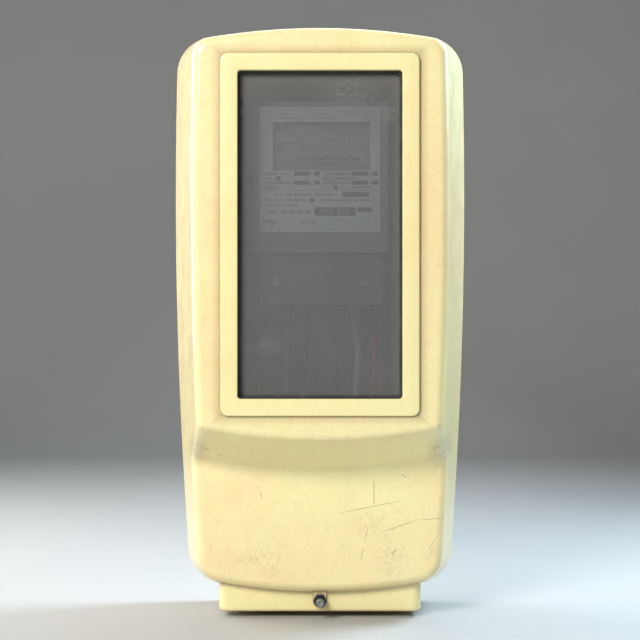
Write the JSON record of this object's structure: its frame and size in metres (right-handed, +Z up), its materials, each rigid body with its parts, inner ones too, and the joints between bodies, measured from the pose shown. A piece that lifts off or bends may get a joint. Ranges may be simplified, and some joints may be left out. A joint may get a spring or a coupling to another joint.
{
  "type": "smart electric meter",
  "caption": "Wall-hung outdoor electricity meter box: cream cover with a smoked window over an electronic meter, hinged at the top and locked by a sealing screw.",
  "frame": {"origin": "middle of the four wall fixing holes, on the wall plane", "axes": "+Z up, +X to the right seen from the front, -Y out of the wall towards the viewer"},
  "size_m": [0.2792, 0.145, 0.5538],
  "materials": {
    "cream_plastic": "sun-aged moulded ABS, satin",
    "cream_paint": "cream enamel on steel",
    "black_rubber": "dull EPDM",
    "zinc_steel": "zinc-plated, dull",
    "dark_steel": "blackened steel, blue-grey",
    "seal_steel": "weathered plated steel",
    "brass": "turned, dull",
    "copper": "rolled copper bar",
    "smoked_window": "smoked polycarbonate",
    "clear_lens": "clear acrylic",
    "case_grey": "fine-textured grey ABS",
    "nameplate_face": "printed light grey film",
    "lcd_face": "liquid-crystal panel, grey-green",
    "board_green": "solder-masked glass epoxy",
    "module_grey": "moulded module case",
    "transformer_yellow": "taped winding and core",
    "capacitor_blue": "sleeved aluminium can",
    "battery_wrap": "shrink-wrapped lithium cell",
    "core_dark": "potted ring core",
    "terminal_brown": "phenolic moulding",
    "block_grey": "phenolic moulding",
    "terminal_cover_dark": "dark brown-grey moulding",
    "wire_red": "PVC insulation",
    "wire_white": "PVC insulation",
    "wire_black": "PVC insulation"
  },
  "bodies": {
    "base": {"base_box": "cream_plastic", "cable_neck": "cream_plastic", "entry_plate": "cream_plastic", "hinge_pins": "zinc_steel", "seal_screw_insert": "brass", "cable_grommets": "black_rubber", "rear_entry_plug": "black_rubber", "base_gasket": "black_rubber", "mounting_plate": "zinc_steel", "mounting_plate_screws": "zinc_steel", "meter_back_case": "case_grey", "meter_front_case": "case_grey", "meter_case_screws": "zinc_steel", "meter_hanger_screw": "zinc_steel", "meter_fixing_screws": "zinc_steel", "nameplate": "nameplate_face", "lcd_lens": "clear_lens", "lcd_module": "lcd_face", "main_circuit_board": "board_green", "circuit_board_screws": "zinc_steel", "communication_module": "module_grey", "power_transformer": "transformer_yellow", "smoothing_capacitors": "capacitor_blue", "backup_battery": "battery_wrap", "disconnect_relay": "module_grey", "current_transformers": "core_dark", "bus_bars": "copper", "meter_terminal_block": "terminal_brown", "meter_terminal_screws": "brass", "wire_red_left": "wire_red", "wire_white_left": "wire_white", "wire_black_left": "wire_black", "wire_black_right": "wire_black", "wire_white_right": "wire_white", "wire_red_right": "wire_red", "wire_support": "terminal_brown", "wire_clamp": "zinc_steel", "wire_clamp_screws": "zinc_steel", "connection_block": "block_grey", "connection_block_terminals": "brass", "connection_block_screws": "zinc_steel"},
    "cover": {"cover_shell": "cream_plastic", "window_frame": "cream_plastic", "window_gasket": "black_rubber", "window_pane": "smoked_window", "window_retainer": "zinc_steel", "window_retainer_screws": "zinc_steel", "hinge_leaves": "zinc_steel", "hinge_leaf_screws": "zinc_steel", "lock_tongue": "cream_paint", "lock_tongue_screws": "zinc_steel", "lock_bush": "dark_steel"},
    "seal_slider": {"seal_screw_washer": "brass"},
    "seal_turner": {"seal_screw": "seal_steel"},
    "terminal_lid": {"terminal_cover": "terminal_cover_dark", "terminal_cover_screws": "zinc_steel"}
  },
  "joints": [
    {"name": "cover_hinge", "type": "hinge", "parent": "base", "child": "cover", "pos_m": [0, -0.014, 0.2698], "axis": [-1, 0, 0], "range_deg": [0, 90]},
    {"name": "seal_screw_travel", "type": "slide", "parent": "cover", "child": "seal_slider", "axis": [0, 1, 0], "range_m": [0, 0.005]},
    {"name": "seal_screw_turn", "type": "hinge", "parent": "seal_slider", "child": "seal_turner", "pos_m": [0, -0.0932, -0.258], "axis": [0, 1, 0], "range_deg": [0, 2251]},
    {"name": "terminal_cover_pull", "type": "slide", "parent": "base", "child": "terminal_lid", "axis": [0, -1, 0], "range_m": [0, 0.015]}
  ],
  "couplings": [
    {"joint": "seal_screw_turn", "follows": "seal_screw_travel", "rad_per_m": 7854}
  ]
}
